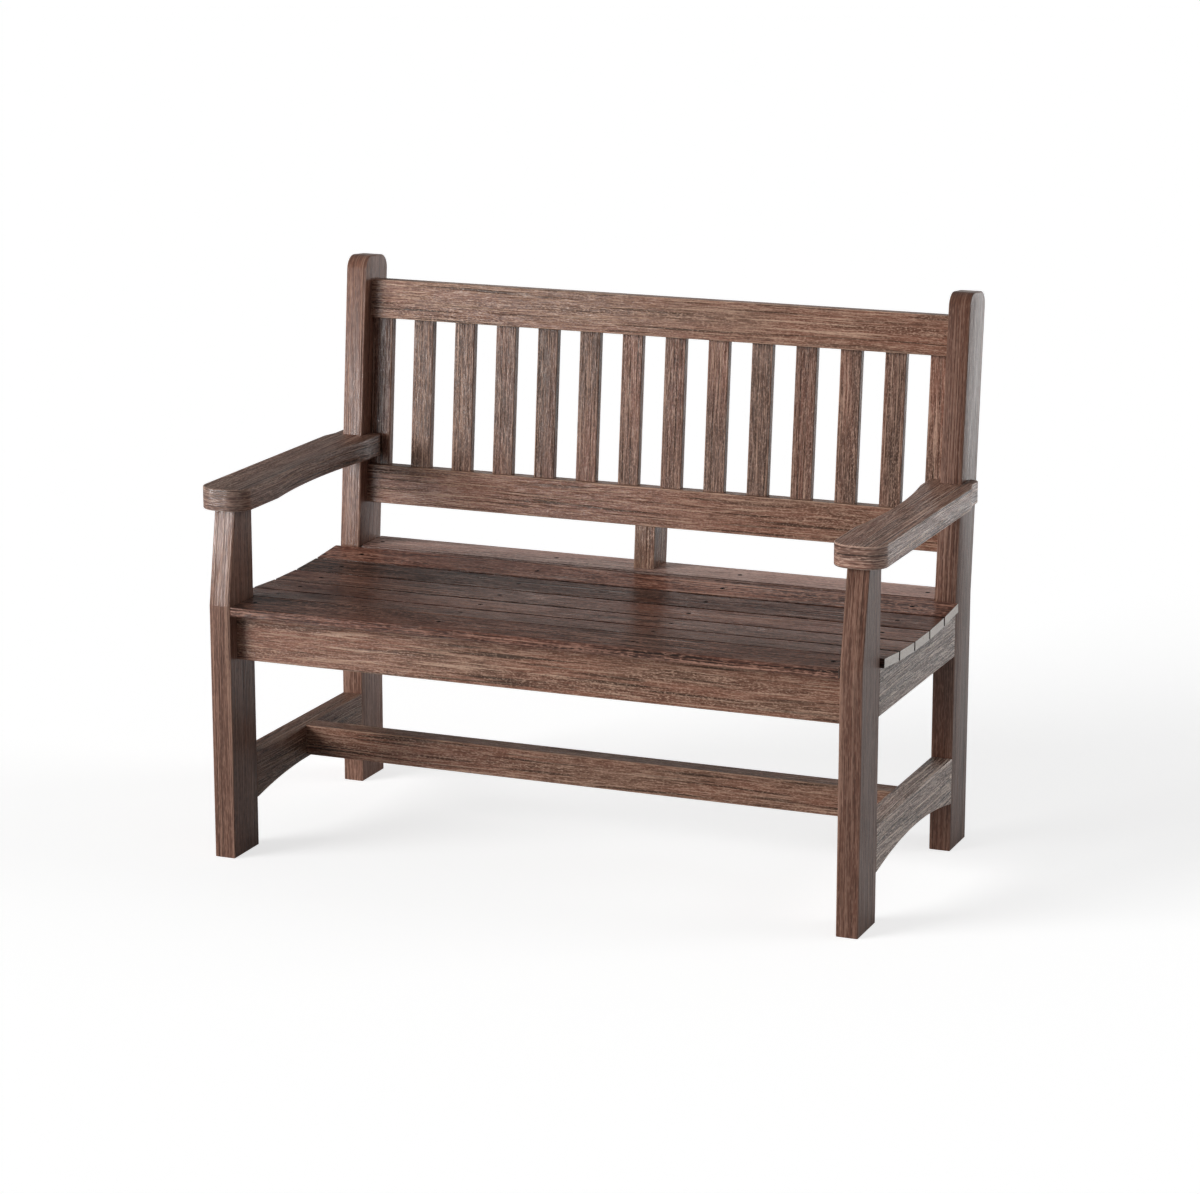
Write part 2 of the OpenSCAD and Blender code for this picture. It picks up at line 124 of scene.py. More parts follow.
BEARER_LINES = (-END_LINE_X, -MID_BEARER_X, MID_BEARER_X, END_LINE_X)

# Holes for the screws: their depths, and the places of two of them as shares of the tongue
SEAT_HOLE_DEPTH = 20.0
POST_HOLE_DEPTH = 26.0
TONGUE_SCREWS = (0.3, 0.7)
HOLE_SIDES = 32
HOLE_LIFT = 1.0

# Easing of the edges; the edges of cut ends take a share of it
EASE = 2.0
SEAT_EASE = 1.2
END_EASE_SHARE = 0.35
EASE_STEPS = 3
SHARP_ANGLE = math.radians(25)
# How far from the plane of a bend an edge still counts as lying in it
BEND_REACH = 0.3
BEND_SLACK = 0.01

# Straight steps in each kind of arc
ARC_STEPS = 14
WAIST_STEPS = 24
TAIL_STEPS = 8
ARCH_STEPS = 36

# From these shares up, a direction counts as mostly, squarely or fully that of an axis
MOSTLY = 0.7
SQUARELY = 0.9
FULLY = 0.99

# The seat slats' grain is coarser across their faces, and their edges are darkened with painted
# shade of the gaps
SEAT_GRAIN = 0.45
GAP_PAINTED_SHADE = -0.62
# How far to each side, in metres, the boards' stretches of grain are drawn from
GRAIN_RANGE = 5

X, Y, Z = (1, 0, 0), (0, 1, 0), (0, 0, 1)
LEAN_UP = (0, math.sin(LEAN), math.cos(LEAN))
LEAN_BACK = (0, math.cos(LEAN), -math.sin(LEAN))


def arc_radius(chord, rise):
    return (chord * chord / 4 + rise * rise) / (2 * rise)


DISH_CHORD = INNER_D + REAR_SLAT_INSET
DISH_MID = LEG_D + DISH_CHORD / 2
DISH_R = arc_radius(DISH_CHORD, SEAT_DIP)


# Seat slats, counted from the front


def is_mid(i):
    return 1 < i < SEAT_SLATS


def slat_width(i):
    if is_mid(i):
        return SEAT_SLAT_W
    return LEG_D if i == 1 else LEG_D - REAR_SLAT_INSET


def slat_length(i):
    return BENCH_L + 2 * SEAT_OVERHANG if is_mid(i) else 2 * (INNER_HALF - SLAT_END_GAP)


def slat_y(i):
    if i == 1:
        return LEG_D / 2
    if i == SEAT_SLATS:
        return FRAME_D - slat_width(i) / 2
    return LEG_D + (i - 1) * (SEAT_GAP + SEAT_SLAT_W) - SEAT_SLAT_W / 2


def slat_tilt(i):
    return math.asin((slat_y(i) - DISH_MID) / DISH_R) if is_mid(i) else 0.0


def slat_z(i):
    return SEAT_H - SEAT_DIP + DISH_R * (1 - math.cos(slat_tilt(i))) if is_mid(i) else SEAT_H


def screw_y(i):
    """The line of the screws from the slat's centre line."""
    if is_mid(i):
        return 0.0
    return (0 if i == 1 else REAR_Y) + RAIL_INSET + BOARD_T / 2 - slat_y(i)


def under_slat(i, u):
    """A point (y, z) of the underside of slat i, at u from its centre line."""
    tilt = slat_tilt(i)
    return (
        slat_y(i) + u * math.cos(tilt) + SEAT_SLAT_T * math.sin(tilt),
        slat_z(i) + u * math.sin(tilt) - SEAT_SLAT_T * math.cos(tilt),
    )


def under_line(i, y):
    """The point (y, z) of the plane of that underside at a depth y."""
    y0, z0 = under_slat(i, 0)
    return (y, z0 + (y - y0) * math.tan(slat_tilt(i)))


def slat_seats():
    """The line under the middle slats, edge by edge."""
    return [
        under_slat(i, side * slat_width(i) / 2) for i in range(2, SEAT_SLATS) for side in (-1, 1)
    ]


# Frames and outlines


def board_frame(origin, along, across, through):
    """From a board's own millimetres to the scene's metres.

    origin is a point of the CAD layout, and the others are the three directions of the board.
    """
    axes = [Vector(axis) for axis in (along, across, through)]
    place = Vector(origin) - Vector((0, OVERALL_D / 2, 0))
    m = Matrix.Identity(4)
    for row in range(3):
        for column, axis in enumerate(axes):
            m[row][column] = axis[row] * MM
        m[row][3] = place[row] * MM
    return m


def arc(centre, radius, start, end, steps=ARC_STEPS):
    """Points of an arc, from one angle to another in degrees."""
    angles = [math.radians(start + (end - start) * k / steps) for k in range(steps + 1)]
    return [
        (centre[0] + radius * math.cos(a), centre[1] + radius * math.sin(a)) for a in angles
    ]


def rectangle(length, width):
    return [(-length / 2, 0), (length / 2, 0), (length / 2, width), (-length / 2, width)]


# Boards


def apply_modifiers(obj):
    """Bakes an object's modifiers into its mesh."""
    depsgraph = bpy.context.evaluated_depsgraph_get()
    made = bpy.data.meshes.new_from_object(obj.evaluated_get(depsgraph))
    obj.modifiers.clear()
    old = obj.data
    obj.data = made
    bpy.data.meshes.remove(old)
    made.name = obj.name


def add_object(name, mesh):
    obj = bpy.data.objects.new(name, mesh)
    bpy.context.scene.collection.objects.link(obj)
    return obj


def finished_mesh(name, bm):
    """A mesh made from a bmesh that isn't needed any more."""
    mesh = bpy.data.meshes.new(name)
    bm.to_mesh(mesh)
    bm.free()
    return mesh


def countersink_cutter(name, holes, depth):
    """One mesh of countersunk holes; each hole is a frame whose z points out of the board."""
    bm = bmesh.new()
    head_h = SCREW_HEAD_R - SCREW_R
    profile = [
        (0, HOLE_LIFT),
        (SCREW_HEAD_R + SCREW_GAP, HOLE_LIFT),
        (SCREW_HEAD_R + SCREW_GAP, 0.0),
        (SCREW_R + SCREW_GAP, -head_h),
        (SCREW_R + SCREW_GAP, -depth),
        (0, -depth),
    ]
    turns = [2 * math.pi * k / HOLE_SIDES for k in range(HOLE_SIDES)]
    for hole in holes:
        rings = []
        for r, z in profile:
            around = turns if r else turns[:1]
            points = [(r * math.cos(turn), r * math.sin(turn), z) for turn in around]
            rings.append([bm.verts.new(hole @ Vector(point)) for point in points])
        for low, high in zip(rings, rings[1:]):
            for k in range(HOLE_SIDES):
                n = (k + 1) % HOLE_SIDES
                corners = [
                    low[k % len(low)], low[n % len(low)], high[n % len(high)], high[k % len(high)],
                ]
                # At a ring of one point two corners are the same
                bm.faces.new(list(dict.fromkeys(corners)))
    bmesh.ops.recalc_face_normals(bm, faces=bm.faces)
    return add_object(name, finished_mesh(name, bm))


def raw_board(name, outline, thickness, round_caps, shape, splits):
    """The sharp-edged board, with the share of the easing that each of its edges is to take."""
    bm = bmesh.new()
    loops = []
    for side in (-1, 1):
        points = [(a, b, side * thickness / 2) for a, b in outline]
        if shape:
            points = [shape(*p) for p in points]
        loops.append([bm.verts.new(p) for p in points])
    count = len(outline)
    for loop in loops:
        bm.faces.new(loop)
    for k in range(count):
        n = (k + 1) % count
        bm.faces.new([loops[0][k], loops[0][n], loops[1][n], loops[1][k]])
    for pair in splits:
        for loop in loops:
            bmesh.ops.connect_verts(bm, verts=[loop[k] for k in pair])
    bmesh.ops.recalc_face_normals(bm, faces=bm.faces)

    # Long edges are eased fully, the edges of cut ends less, and shallow bends stay as they are
    weight = bm.edges.layers.float.new("bevel_weight_edge")
    for edge in bm.edges:
        if len(edge.link_faces) != 2 or edge.calc_face_angle() < SHARP_ANGLE:
            continue
        direction = (edge.verts[1].co - edge.verts[0].co).normalized()
        on_cap = abs(direction.z) < MOSTLY
        along = abs(direction.x) > MOSTLY
        edge[weight] = 1.0 if along or (round_caps and on_cap) else END_EASE_SHARE
    return finished_mesh(name, bm)


def ease_and_drill(obj, easing, holes, hole_depth, bend):
    """Eases the edges, cuts the screw holes and shades the faces flat, with a crisp bend."""
    ease = obj.modifiers.new("ease", "BEVEL")
    ease.width = easing
    ease.segments = EASE_STEPS
    ease.limit_method = "WEIGHT"
    ease.use_clamp_overlap = False
    ease.material = 1
    cutter = None
    if holes:
        cutter = countersink_cutter(obj.name + "_cutter", holes, hole_depth)
        cut = obj.modifiers.new("holes", "BOOLEAN")
        cut.operation = "DIFFERENCE"
        cut.solver = "EXACT"
        cut.object = cutter
    apply_modifiers(obj)
    if cutter:
        bpy.data.objects.remove(cutter)
    if bend:
        near = [abs(bend(v.co)) < BEND_REACH for v in obj.data.vertices]
        for edge in obj.data.edges:
            edge.use_edge_sharp = all(near[k] for k in edge.vertices)
    normals = obj.modifiers.new("normals", "WEIGHTED_NORMAL")
    normals.keep_sharp = True
    apply_modifiers(obj)


def mark_faces(mesh, name, grain, wrap, edge_painted_shade):
    """Stores what the plastic needs to know: eased strips, cut ends, each face's lighter or darker
    share, partly painted light and shade, and grain.
    """
    for attribute, kind, domain in (
        ("eased_strip", "FLOAT", "FACE"), ("cut_end", "FLOAT", "FACE"), ("tone_and_painted_light", "FLOAT", "FACE"),
        ("grain", "FLOAT_VECTOR", "CORNER"),
    ):
        mesh.attributes.new(attribute, kind, domain)

    def store(attribute, values, key="value"):
        mesh.attributes[attribute].data.foreach_set(key, values)

    faces, points = mesh.polygons, mesh.vertices
    cut_ends = [not wrap and abs(f.normal.x) > SQUARELY for f in faces]
    tones_and_painted_light = [BOARD_TONES_AND_PAINTED_LIGHT.get(name, 0.0)] * len(faces)
    # Where edge_painted_shade is given, the narrow faces and eased edges are darkened by it as
    # painted shade of the gaps, and cut ends take nothing
    if edge_painted_shade is not None:
        for k, (f, cut) in enumerate(zip(faces, cut_ends)):
            if abs(f.normal.z) < FULLY:
                tones_and_painted_light[k] = 0.0 if cut else edge_painted_shade
    store("eased_strip", [float(f.material_index == 1) for f in faces])
    store("cut_end", [float(cut) for cut in cut_ends])
    store("tone_and_painted_light", tones_and_painted_light)

    # Each board takes its grain from its own stretch of the same stuff
    draw = random.Random(name)
    offset = Vector([draw.uniform(-GRAIN_RANGE, GRAIN_RANGE) for _ in range(3)])
    coordinates = []
    for f, cut in zip(faces, cut_ends):
        narrow = abs(f.normal.z) < MOSTLY and not cut
        for k in f.vertices:
            point = points[k].co
            along, across, through = grain(point) if grain else point
            if narrow:
                along, across = wrap(point) if wrap else along, 0.0
            coordinates.extend(Vector((along, across, through)) * MM + offset)
    store("grain", coordinates, "vector")


def board(
    name, outline, thickness, place, material, round_caps=False, shape=None, grain=None,
    wrap=None, splits=(), bend=None, holes=(), hole_depth=SEAT_HOLE_DEPTH, easing=EASE,
    edge_painted_shade=None,
):
    """A board with eased edges: an outline (along, across), extruded evenly both ways.

    round_caps: all its edges are eased fully, those of the cut ends too.
    shape(along, across, through): may move a raw corner.
    grain(point): the grain coordinates of a point of the board's own frame.
    wrap(point): the first of them on the narrow faces, where the grain runs on round the ends.
    splits: pairs of outline corners to join by an edge across both faces.
    bend(point): how far a point is from the plane of a crisp bend.
    edge_painted_shade: how far its narrow faces and eased edges are darkened, as painted shade,
    instead of the whole board's share.
    """
    mesh = raw_board(name + "_board", outline, thickness, round_caps, shape, splits)
    obj = add_object(mesh.name, mesh)
    # The second slot marks the eased strips, until they are stored as an attribute
    mesh.materials.append(material)
    mesh.materials.append(material)
    mesh.polygons.foreach_set("use_smooth", [True] * len(mesh.polygons))
    ease_and_drill(obj, easing, holes, hole_depth, bend)
    mesh = obj.data
    mark_faces(mesh, name, grain, wrap, edge_painted_shade)
    mesh.polygons.foreach_set("material_index", [0] * len(mesh.polygons))
    mesh.materials.pop(index=1)
    mesh.transform(place)
    if place.to_3x3().determinant() < 0:
        mesh.flip_normals()
    mesh.update()
    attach(obj, "root")
    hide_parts(name)


# Materials


class Shader:
    """A small helper for building a node tree: add() makes a node and connects its inputs."""

    COLUMNS, COLUMN_W, ROW_H = 12, 220, 260

    def __init__(self, owner):
        owner.use_nodes = True
        self.tree = owner.node_tree
        self.tree.nodes.clear()
        self.count = 0

    def add(self, kind, inputs=None, **settings):
        node = self.tree.nodes.new(kind)
        row, column = divmod(self.count, self.COLUMNS)
        node.location = (self.COLUMN_W * column, -self.ROW_H * row)
        self.count += 1
        for key, value in settings.items():
            setattr(node, key, value)
        for key, value in (inputs or {}).items():
            if isinstance(value, bpy.types.NodeSocket):
                self.tree.links.new(value, node.inputs[key])
            else:
                node.inputs[key].default_value = value
        return node

    def attribute(self, name, output="Fac"):
        node = self.add("ShaderNodeAttribute", attribute_name=name, attribute_type="GEOMETRY")
        return node.outputs[output]

    def math(self, operation, a, b=0.0, c=0.0, clamp=False):
        node = self.add(
            "ShaderNodeMath", {0: a, 1: b, 2: c}, operation=operation, use_clamp=clamp,
        )
        return node.outputs[0]

    def vector_math(self, operation, *values):
        node = self.add("ShaderNodeVectorMath", dict(enumerate(values)), operation=operation)
        return node.outputs[0]

    def scaled(self, vector, factors):
        return self.vector_math("MULTIPLY", vector, factors)

    def noise(self, vector, detail, roughness=0.5, output=0):
        return self.add("ShaderNodeTexNoise", {
            "Vector": vector, "Scale": 1.0, "Detail": detail, "Roughness": roughness,
        }).outputs[output]

    def ramp(self, value, low, high, to_low=0.0, to_high=1.0):
        return self.add("ShaderNodeMapRange", {
            "Value": value, "From Min": low, "From Max": high, "To Min": to_low, "To Max": to_high,
        }, interpolation_type="SMOOTHSTEP").outputs[0]

    def mix(self, share, a, b, blend="MIX"):
        # The sockets of a colour mix: 0 is its factor, 6 and 7 its colours, 2 its result
        node = self.add(
            "ShaderNodeMix", {0: share, 6: a, 7: b}, data_type="RGBA", blend_type=blend,
        )
        return node.outputs[2]

    def surface(self, shader):
        self.add("ShaderNodeOutputMaterial", {"Surface": shader.outputs[0]})


def rgb(r, g, b):
    """A colour from its 0 to 255 screen values."""
    def linear(v):
        v /= 255
        return v / 12.92 if v <= 0.04045 else ((v + 0.055) / 1.055) ** 2.4
    return (linear(r), linear(g), linear(b), 1.0)


# How fully a cut end takes the colour of the core
CUT_COVER = 0.92


def board_plastic(
    name, warm, grey, dark, light, cut, roughness=0.36, sway=0.010, stretch=1.0, lines=1.0,
    groove=1.0, bands=1.0, bump=0.9, specular=0.35, edge_wear_and_light=0.5, edge_wear_and_light_colour=None,
):
    """Moulded recycled plastic with a pressed wood grain that runs along each board.

    warm and grey are its two body colours, dark and light those of its threads, and cut that of
    its cut ends; sway is how far the grain wanders across the board, in metres, and stretch draws
    it out along the board; lines, groove and bands are the strength of its light threads, its dark
    threads and its rippled bands; rub is how far the eased edges are mixed to
    edge_wear_and_light_colour, which is by default light, as worn edges and painted highlight, or
    dark, as painted shade.
    """
    material = bpy.data.materials.new(name)
    s = Shader(material)
    straight = s.attribute("grain", "Vector")
    tone_and_painted_light = s.attribute("tone_and_painted_light")
    eased_strip = s.attribute("eased_strip")
    cut_end = s.attribute("cut_end")

    # The grain wanders slowly across the board, with a short ripple on top
    grain = straight
    for along, across, reach in ((4.0, 16.0, sway), (80.0, 40.0, 0.10 * sway)):
        shift = s.noise(s.scaled(straight, (along, across, across)), 1.0, output="Color")
        shift = s.vector_math("SUBTRACT", shift, (0.5, 0.5, 0.5))
        grain = s.vector_math("MULTIPLY_ADD", shift, (0.0, reach, reach), grain)

    def field(along, across, detail, roughness=0.5):
        """Noise that changes so many times a metre along and across the board."""
        return s.noise(s.scaled(grain, (along / stretch, across, across)), detail, roughness)

    threads = field(5.5, 330.0, 0.0)
    grooves = field(4.5, 260.0, 0.0)
    fibre = field(30.0, 620.0, 1.0, 0.6)
    flecks = field(210.0, 520.0, 1.0)
    strength = field(5.0, 38.0, 2.0)
    patches = field(2.6, 15.0, 2.0)
    banding = field(2.0, 52.0, 1.0)

    band = s.ramp(banding, 0.52, 0.66)
    colour = s.mix(s.ramp(patches, 0.38, 0.66), warm, grey)
    colour = s.mix(s.math("MULTIPLY", band, 0.28 * bands), colour, dark)
    colour = s.mix(s.ramp(fibre, 0.50, 0.68, 0.0, 0.50 * lines), colour, light)
    colour = s.mix(s.ramp(fibre, 0.50, 0.30, 0.0, 0.55 * lines), colour, dark)
    deep = s.ramp(strength, 0.40, 0.62, 0.45, 1.0)
    pressed = s.math("MULTIPLY", s.ramp(grooves, 0.40, 0.28), deep)
    colour = s.mix(s.math("MULTIPLY", pressed, 0.75 * groove, clamp=True), colour, dark)
    high = s.ramp(strength, 0.62, 0.42, 0.45, 1.0)
    raised = s.math("MULTIPLY", s.ramp(threads, 0.60, 0.72), high)
    colour = s.mix(s.math("MULTIPLY", raised, 0.70 * lines, clamp=True), colour, light)
    fleck_level = s.math("MULTIPLY_ADD", band, 0.20 * bands, 0.38 * lines)
    for start, full, tint in ((0.54, 0.68, light), (0.46, 0.32, dark)):
        colour = s.mix(s.math("MULTIPLY", s.ramp(flecks, start, full), fleck_level), colour, tint)

    # Eased edges are mixed to another colour: light, partly as worn edges and partly as painted
    # highlight, or dark on the seat slats, as painted shade of the gaps; cut ends show the core,
    # on the seat slats lightened as painted sheen
    edge_wear_and_light_share = s.math("MULTIPLY", eased_strip, s.ramp(fibre, 0.35, 0.65, 0.3 * edge_wear_and_light, edge_wear_and_light))
    colour = s.mix(edge_wear_and_light_share, colour, edge_wear_and_light_colour or light)
    colour = s.mix(s.math("MULTIPLY", cut_end, CUT_COVER), colour, cut)
    # The share lightens or darkens the whole colour, partly at random and partly as painted light
    # and shade
    level = s.math("ADD", tone_and_painted_light, 1.0)
    shade = s.add("ShaderNodeCombineXYZ", {"X": level, "Y": level, "Z": level}).outputs[0]
    colour = s.mix(1.0, colour, shade, blend="MULTIPLY")

    # The relief adds up each kind of line by its height
    swell = s.noise(s.scaled(grain, (14.0, 30.0, 30.0)), 1.0)
    height = s.math("MULTIPLY", pressed, -1.0)
    for pattern, rise in ((raised, 0.6), (fibre, 0.9), (flecks, 0.4), (swell, 0.3)):
        height = s.math("MULTIPLY_ADD", pattern, rise, height)
    relief = s.add("ShaderNodeBump", {"Height": height, "Distance": 0.0010, "Strength": bump})
    s.surface(s.add("ShaderNodeBsdfPrincipled", {
        "Base Color": colour,
        "Roughness": s.ramp(fibre, 0.3, 0.7, roughness + 0.08, roughness - 0.06),
        "Normal": relief.outputs[0],
        "Specular IOR Level": specular,
    }))
    return material


def screw_steel():
    material = bpy.data.materials.new("dark_coated_steel")
    s = Shader(material)
    where = s.add("ShaderNodeTexCoord").outputs["Object"]
    specks = s.noise(s.scaled(where, (900.0, 900.0, 900.0)), 3.0)
    relief = s.add("ShaderNodeBump", {"Height": specks, "Distance": 0.0001, "Strength": 0.4})
    s.surface(s.add("ShaderNodeBsdfPrincipled", {
        "Base Color": s.mix(s.ramp(specks, 0.45, 0.7), rgb(14, 12, 11), rgb(34, 30, 28)),
        "Metallic": 0.25,
        "Roughness": s.ramp(specks, 0.3, 0.7, 0.45, 0.65),
        "Normal": relief.outputs[0],
        "Specular IOR Level": 0.05,
    }))
    return material


FRAME_CUT = rgb(116, 80, 66)
# The seat slats' cut ends are a pale core, lightened nearly to white as painted sheen
SEAT_CUT_AND_SHEEN = rgb(246, 238, 230)

LEG_PLASTIC = board_plastic(
    "leg_plastic", warm=rgb(118, 79, 64), grey=rgb(110, 78, 65), dark=rgb(66, 46, 38),
    light=rgb(166, 130, 112), cut=FRAME_CUT, sway=0.003, stretch=2.5, groove=0.8, bands=0.2,
    bump=0.6,
)
ARM_PLASTIC = board_plastic(
    "arm_plastic", warm=rgb(124, 84, 69), grey=rgb(112, 82, 70), dark=rgb(48, 36, 31),
    light=rgb(204, 172, 154), cut=rgb(108, 75, 62), sway=0.005, stretch=2.0, groove=1.8,
    lines=1.1, bump=1.2, specular=0.6,
)
RAIL_PLASTIC = board_plastic(
    "rail_plastic", warm=rgb(140, 96, 79), grey=rgb(128, 95, 79), dark=rgb(62, 46, 37),
    light=rgb(208, 173, 150), cut=FRAME_CUT, lines=0.88, groove=1.15, specular=0.24,
)
# A lighter, greyer copy of the frame's plastic, partly as painted sheen on the faces that look
# right
SIDE_SHEEN_PLASTIC = board_plastic(
    "side_painted_sheen_plastic", warm=rgb(132, 101, 88), grey=rgb(124, 101, 90), dark=rgb(38, 30, 26),
    light=rgb(226, 204, 190), cut=FRAME_CUT, sway=0.014, stretch=1.5, groove=1.6, lines=1.3,
    bump=1.1, specular=0.5,
)
# The seat's eased edges are mixed to a dull brown, as painted shade of the gaps between the slats
SEAT_PLASTIC = board_plastic(
    "seat_plastic", warm=rgb(110, 66, 52), grey=rgb(84, 60, 53), dark=rgb(34, 25, 21),
    light=rgb(166, 126, 109), cut=SEAT_CUT_AND_SHEEN, roughness=0.32, sway=0.004, stretch=1.6, lines=1.3,
    groove=1.3, bands=0.8, bump=0.8, specular=0.2, edge_wear_and_light_colour=rgb(92, 70, 62),
)
# The rear slat's plastic is a lighter copy of the seat's, as painted light where sheen and light
# from behind reach it under the back; its eased edges are mixed to dark brown as painted shade of
# the gap
REAR_SLAT_LIT_PLASTIC = board_plastic(
    "rear_slat_painted_light_plastic", warm=rgb(200, 150, 135), grey=rgb(181, 144, 131), dark=rgb(110, 84, 74),
    light=rgb(232, 198, 184), cut=SEAT_CUT_AND_SHEEN, roughness=0.32, sway=0.004, stretch=1.6, bands=0.8,
    bump=0.8, specular=0.2, edge_wear_and_light=0.8, edge_wear_and_light_colour=rgb(72, 54, 47),
)
BACK_PLASTIC = board_plastic(
    "back_plastic", warm=rgb(130, 87, 71), grey=rgb(108, 80, 67), dark=rgb(52, 39, 32),
    light=rgb(196, 160, 140), cut=FRAME_CUT, sway=0.005, specular=0.22,
)
SCREW_STEEL = screw_steel()

# How much lighter or darker than its plastic each board is, as a share: partly at random, and
# partly painted light and shade, as on seat slats 5 and 6 under the lower back rail, the lit right
# armrest and the shaded left stretcher
BOARD_TONES_AND_PAINTED_LIGHT = {
    "front_leg_left": 0.03, "front_leg_right": -0.24,
    "rear_leg_left": 0.18, "rear_leg_right": -0.25,
    "arm_left": -0.05, "arm_right": 0.2,
    "front_seat_rail": -0.09, "side_seat_rail_right": -0.1,
    "side_stretcher_left": -0.22, "side_stretcher_right": 0.12, "long_stretcher": -0.09,
    "back_lower_rail": -0.03, "back_centre_post": -0.15,
    "seat_slat_1": -0.05, "seat_slat_5": -0.35, "seat_slat_6": 0.5,
    "back_slat_1": -0.15, "back_slat_2": -0.08, "back_slat_4": -0.05, "back_slat_5": -0.22,
    "back_slat_6": -0.12, "back_slat_8": -0.1, "back_slat_9": -0.05, "back_slat_10": -0.15,
    "back_slat_11": -0.22, "back_slat_12": -0.1, "back_slat_13": -0.2,
}

# Legs


def side_x(side, depth):
    """x of a point at some depth inside the outer face of the legs on one side."""
    return side * (HALF - depth)


def leaned(up, back):
    """A point of the leaning frame as (height, depth) behind the front of the posts."""
    return (
        SEAT_H + up * math.cos(LEAN) - back * math.sin(LEAN),
        back * math.cos(LEAN) + up * math.sin(LEAN),
    )


def unbent(point):
    """Grain coordinates of a point of a back post, whose lines follow the bend."""
    up, back, through = point
    if up <= SEAT_H - back * math.tan(LEAN / 2) + BEND_SLACK:
        return (up, back, through)
    rise = up - SEAT_H
    return (
        SEAT_H + rise * math.cos(LEAN) + back * math.sin(LEAN),
        back * math.cos(LEAN) - rise * math.sin(LEAN),
        through,
    )


def front_leg(name, side):
    outline = [(0, 0), (SEAT_H, 0), (LEG_TOP, LEG_TAPER), (LEG_TOP, LEG_D), (0, LEG_D)]
    place = board_frame((side_x(side, BOARD_T / 2), 0, 0), Z, Y, X)
    board(
        name, outline, BOARD_T, place, LEG_PLASTIC, round_caps=True,
        bend=lambda point: point.x - SEAT_H,
    )


def rear_leg(name, side):
    r = POST_CORNER_R
    top = arc((POST_LEN - r, r), r, -90, 0) + arc((POST_LEN - r, LEG_D - r), r, 0, 90)
    outline = [(0, 0), (SEAT_H, 0)] + [leaned(up, back) for up, back in top]
    outline += [(SEAT_H - LEG_D * math.tan(LEAN / 2), LEG_D), (0, LEG_D)]
    place = board_frame((side_x(side, BOARD_T / 2), REAR_Y, 0), Z, Y, X)
    board(
        name, outline, BOARD_T, place, LEG_PLASTIC, round_caps=True,
        grain=unbent, wrap=lambda point: unbent(point)[0], splits=[(1, len(outline) - 2)],
        bend=lambda point: point.x + point.y * math.tan(LEAN / 2) - SEAT_H,
    )


# Armrests: along = depth behind the legs' front, across = inwards from the legs' outer face


def arm(name, side):
    outer, inner = -ARM_OUT, ARM_W - ARM_OUT
    front, r = ARM_SETBACK, ARM_CORNER_R
    waist_chord = REAR_Y - WAIST_END - ARM_SETBACK - WAIST_START
    waist_r = arc_radius(waist_chord, WAIST_DEPTH)
    waist_centre = (
        ARM_SETBACK + WAIST_START + waist_chord / 2, inner - WAIST_DEPTH + waist_r,
    )
    waist_angle = math.degrees(math.asin(waist_chord / 2 / waist_r))
    arm_mid_z = LEG_TOP + BOARD_T / 2
    post_y = REAR_Y + (arm_mid_z - SEAT_H) * math.tan(LEAN) - JOINT_GAP / math.cos(LEAN)
    inner_end = ARM_POST_Y + SLAT_INSET - TAIL_GAP
    outer_end = ARM_POST_Y + TAIL_OUT
    tail_x = outer + TAIL_RELIEF
    inner_tail = (inner_end - INNER_TAIL_R, inner - INNER_TAIL_R)
    outer_tail = (outer_end - TAIL_CORNER_R, tail_x + TAIL_CORNER_R)
    outline = arc((front + r, outer + r), r, -90, -180) + arc((front + r, inner - r), r, 180, 90)
    outline += arc(waist_centre, waist_r, -90 - waist_angle, -90 + waist_angle, WAIST_STEPS)
    outline += arc(inner_tail, INNER_TAIL_R, 90, 0, TAIL_STEPS)
    outline += [(inner_end, BOARD_T + JOINT_GAP)]
    fork_points = [(post_y, BOARD_T + JOINT_GAP), (post_y, -JOINT_GAP)]
    outline += fork_points + [(outer_end, -JOINT_GAP)]
    outline += arc(outer_tail, TAIL_CORNER_R, 0, -90, TAIL_STEPS)
    outline += [(ARM_POST_Y + TAIL_RELIEF, tail_x), (REAR_Y - TAIL_RELIEF, outer)]

    def follow_post(along, across, through):
        """Leans the bottom of the fork with the post's front face."""
        lean = through * math.tan(LEAN) if (along, across) in fork_points else 0.0
        return (along + lean, across, through)

    def round_front(point):
        """How far round the edge of the board a point is from the middle of its front."""
        along, across, _ = point
        centre = min(max(across, outer + r), inner - r)
        way = -1 if across < (outer + inner) / 2 else 1
        turned = math.pi / 2
        if along < front + r:
            turned = math.atan2(abs(across - centre), front + r - along)
        return centre - (outer + inner) / 2 + way * (r * turned + max(0.0, along - front - r))

    place = board_frame((side_x(side, 0), 0, arm_mid_z), Y, (-side, 0, 0), Z)
    board(
        name, outline, BOARD_T, place, ARM_PLASTIC, round_caps=True,
        shape=follow_post, wrap=round_front,
    )


# Boards along the bench


def rail(name, height, bottom, front):
    """An upright board between the legs; front is the depth of its front face."""
    place = board_frame((0, front + BOARD_T / 2, bottom), X, Z, Y)
    outline = rectangle(2 * INNER_HALF, height)
    board(name, outline, BOARD_T, place, RAIL_PLASTIC)


def on_back(x, up, back):
    """A point of the leaning back, from the bend of the posts and from their front faces."""
    return Vector((x, REAR_Y, SEAT_H)) + Vector(LEAN_UP) * up + Vector(LEAN_BACK) * back


def back_rail(name, bottom):
    """A rail of the leaning back; bottom is its lower edge above the bend of the posts."""
    place = board_frame(on_back(0, bottom, BACK_INSET + BOARD_T / 2), X, LEAN_UP, LEAN_BACK)
    outline = rectangle(2 * INNER_HALF, BACK_RAIL_H)
    board(name, outline, BOARD_T, place, RAIL_PLASTIC)


